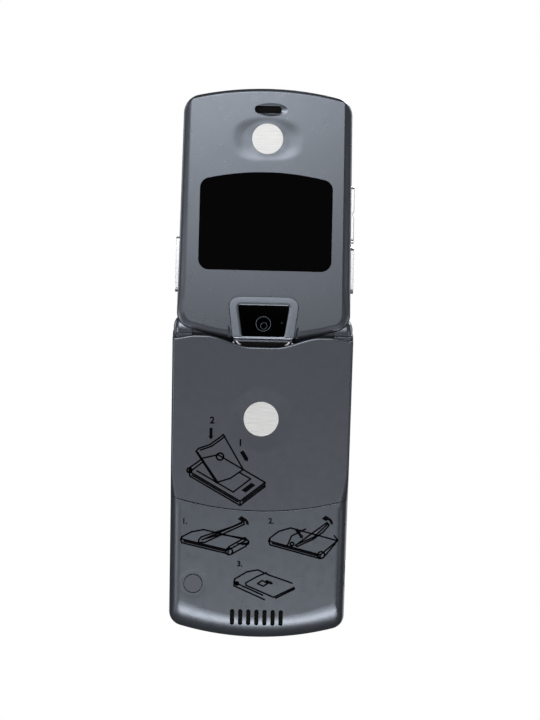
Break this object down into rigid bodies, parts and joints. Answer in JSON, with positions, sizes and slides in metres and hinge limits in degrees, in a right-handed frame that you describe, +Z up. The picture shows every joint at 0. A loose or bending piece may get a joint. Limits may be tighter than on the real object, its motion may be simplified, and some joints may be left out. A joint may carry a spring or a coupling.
{
  "type": "flip phone",
  "caption": "Thin clamshell mobile phone, open: lid with outer display, camera and side keys, hinged on a base with a keypad, a raised chin and a removable battery door.",
  "frame": {"origin": "middle of the fixed flat face on the back of the base, below the battery door", "axes": "+Z up along the base towards the hinge and the lid, -Y out of the back, +X to the right as seen from the back"},
  "size_m": [0.053, 0.0273, 0.1621],
  "materials": {
    "lid_paint": "satin blue-grey paint on aluminium",
    "lid_frame_paint": "satin blue-grey paint on metal",
    "surround_paint": "satin blue-grey paint on plastic",
    "window_glass": "gloss black-backed window",
    "display_glass": "display panel",
    "black_plastic": "black plastic",
    "mesh": "fine black mesh",
    "brushed_disc": "brushed",
    "board": "circuit board with tin cans",
    "steel": "plain steel",
    "rubber_black": "soft black",
    "rubber_grey": "blue-grey rubber",
    "flex_amber": "amber film",
    "side_key_metal": "satin silver",
    "base_paint": "satin blue-grey paint on metal",
    "rear_plastic": "satin blue-grey paint on plastic",
    "door_paint": "satin blue-grey paint on metal",
    "battery_can": "labelled aluminium can",
    "gold": "gold plated",
    "dome_film": "film over steel domes",
    "key_metal": "etched silver metal"
  },
  "bodies": {
    "base": {"base_front_housing": "base_paint", "base_rear_housing": "rear_plastic", "hinge_shaft": "steel", "hinge_pivot_sleeve": "steel", "battery_pack": "battery_can", "battery_contacts": "gold", "main_board": "board", "dome_sheet": "dome_film", "memory_card": "black_plastic", "antenna": "black_plastic", "loudspeaker": "black_plastic", "loudspeaker_mesh": "mesh", "microphone": "steel", "usb_socket": "steel", "test_port_plug": "rubber_grey", "base_screws": "steel"},
    "lid": {"lid_outer_cover": "lid_paint", "lid_inner_frame": "lid_frame_paint", "outer_display_window": "window_glass", "outer_display_panel": "display_glass", "main_display_window": "window_glass", "main_display_panel": "display_glass", "camera_surround": "surround_paint", "camera_window": "window_glass", "camera_module": "black_plastic", "earpiece": "black_plastic", "earpiece_meshes": "mesh", "lid_badge_disc": "brushed_disc", "lid_board": "board", "lid_screws": "steel", "lid_bumpers": "rubber_black", "vibration_motor": "steel", "hinge_cartridge": "steel", "hinge_flex_cable": "flex_amber"},
    "door": {"battery_door": "door_paint", "door_badge_disc": "brushed_disc"},
    "latch": {"battery_latch": "black_plastic"},
    "volume_rocker": {"volume_rocker": "side_key_metal"},
    "smart_key": {"smart_key": "side_key_metal"},
    "voice_key": {"voice_key": "side_key_metal"},
    "ring_pad": {"ring_pad": "rubber_grey"},
    "ring": {"four_way_ring": "key_metal"},
    "left_soft_key": {"left_soft_key": "key_metal"},
    "right_soft_key": {"right_soft_key": "key_metal"},
    "send_key": {"send_key": "key_metal"},
    "clear_key": {"clear_key": "key_metal"},
    "end_key": {"end_key": "key_metal"},
    "centre_key": {"centre_key": "key_metal"},
    "key_1": {"key_1": "key_metal"},
    "key_2": {"key_2": "key_metal"},
    "key_3": {"key_3": "key_metal"},
    "key_4": {"key_4": "key_metal"},
    "key_5": {"key_5": "key_metal"},
    "key_6": {"key_6": "key_metal"},
    "key_7": {"key_7": "key_metal"},
    "key_8": {"key_8": "key_metal"},
    "key_9": {"key_9": "key_metal"},
    "key_star": {"key_star": "key_metal"},
    "key_0": {"key_0": "key_metal"},
    "key_hash": {"key_hash": "key_metal"}
  },
  "joints": [
    {"name": "flip_hinge", "type": "hinge", "parent": "base", "child": "lid", "pos_m": [0, 0.0089, 0.07], "axis": [1, 0, 0], "range_deg": [-165, 0]},
    {"name": "battery_door_swing", "type": "hinge", "parent": "base", "child": "door", "pos_m": [0, 0, 0.0179], "axis": [1, 0, 0], "range_deg": [0, 50]},
    {"name": "battery_latch_slide", "type": "slide", "parent": "base", "child": "latch", "axis": [0, 0, -1], "range_m": [0, 0.0008], "stiffness_N_per_m": 500, "springref_m": -0.0002},
    {"name": "volume_rocker_tilt", "type": "hinge", "parent": "lid", "child": "volume_rocker", "pos_m": [0.0237, 0.01506, 0.10458], "axis": [0, -0.9659, 0.2588], "range_deg": [-1.5, 1.5], "stiffness_Nm_per_rad": 0.02},
    {"name": "smart_key_press", "type": "slide", "parent": "lid", "child": "smart_key", "axis": [-1, 0, 0], "range_m": [0, 0.0003], "stiffness_N_per_m": 600},
    {"name": "voice_key_press", "type": "slide", "parent": "lid", "child": "voice_key", "axis": [1, 0, 0], "range_m": [0, 0.0003], "stiffness_N_per_m": 600},
    {"name": "ring_tilt_sideways", "type": "hinge", "parent": "base", "child": "ring_pad", "pos_m": [0, 0.0072, 0.05], "axis": [0, 0, 1], "range_deg": [-1.1, 1.1], "stiffness_Nm_per_rad": 0.02},
    {"name": "ring_tilt_updown", "type": "hinge", "parent": "ring_pad", "child": "ring", "pos_m": [0, 0.0072, 0.05], "axis": [1, 0, 0], "range_deg": [-1.1, 1.1], "stiffness_Nm_per_rad": 0.02},
    {"name": "press_left_soft_key", "type": "slide", "parent": "base", "child": "left_soft_key", "axis": [0, -1, 0], "range_m": [0, 0.00025], "stiffness_N_per_m": 600},
    {"name": "press_right_soft_key", "type": "slide", "parent": "base", "child": "right_soft_key", "axis": [0, -1, 0], "range_m": [0, 0.00025], "stiffness_N_per_m": 600},
    {"name": "press_send_key", "type": "slide", "parent": "base", "child": "send_key", "axis": [0, -1, 0], "range_m": [0, 0.00025], "stiffness_N_per_m": 600},
    {"name": "press_clear_key", "type": "slide", "parent": "base", "child": "clear_key", "axis": [0, -1, 0], "range_m": [0, 0.00025], "stiffness_N_per_m": 600},
    {"name": "press_end_key", "type": "slide", "parent": "base", "child": "end_key", "axis": [0, -1, 0], "range_m": [0, 0.00025], "stiffness_N_per_m": 600},
    {"name": "press_centre_key", "type": "slide", "parent": "base", "child": "centre_key", "axis": [0, -1, 0], "range_m": [0, 0.00025], "stiffness_N_per_m": 600},
    {"name": "key_1_press", "type": "slide", "parent": "base", "child": "key_1", "axis": [0, -1, 0], "range_m": [0, 0.00025], "stiffness_N_per_m": 600},
    {"name": "key_2_press", "type": "slide", "parent": "base", "child": "key_2", "axis": [0, -1, 0], "range_m": [0, 0.00025], "stiffness_N_per_m": 600},
    {"name": "key_3_press", "type": "slide", "parent": "base", "child": "key_3", "axis": [0, -1, 0], "range_m": [0, 0.00025], "stiffness_N_per_m": 600},
    {"name": "key_4_press", "type": "slide", "parent": "base", "child": "key_4", "axis": [0, -1, 0], "range_m": [0, 0.00025], "stiffness_N_per_m": 600},
    {"name": "key_5_press", "type": "slide", "parent": "base", "child": "key_5", "axis": [0, -1, 0], "range_m": [0, 0.00025], "stiffness_N_per_m": 600},
    {"name": "key_6_press", "type": "slide", "parent": "base", "child": "key_6", "axis": [0, -1, 0], "range_m": [0, 0.00025], "stiffness_N_per_m": 600},
    {"name": "key_7_press", "type": "slide", "parent": "base", "child": "key_7", "axis": [0, -1, 0], "range_m": [0, 0.00025], "stiffness_N_per_m": 600},
    {"name": "key_8_press", "type": "slide", "parent": "base", "child": "key_8", "axis": [0, -1, 0], "range_m": [0, 0.00025], "stiffness_N_per_m": 600},
    {"name": "key_9_press", "type": "slide", "parent": "base", "child": "key_9", "axis": [0, -1, 0], "range_m": [0, 0.00025], "stiffness_N_per_m": 600},
    {"name": "key_star_press", "type": "slide", "parent": "base", "child": "key_star", "axis": [0, -1, 0], "range_m": [0, 0.00025], "stiffness_N_per_m": 600},
    {"name": "key_0_press", "type": "slide", "parent": "base", "child": "key_0", "axis": [0, -1, 0], "range_m": [0, 0.00025], "stiffness_N_per_m": 600},
    {"name": "key_hash_press", "type": "slide", "parent": "base", "child": "key_hash", "axis": [0, -1, 0], "range_m": [0, 0.00025], "stiffness_N_per_m": 600}
  ]
}
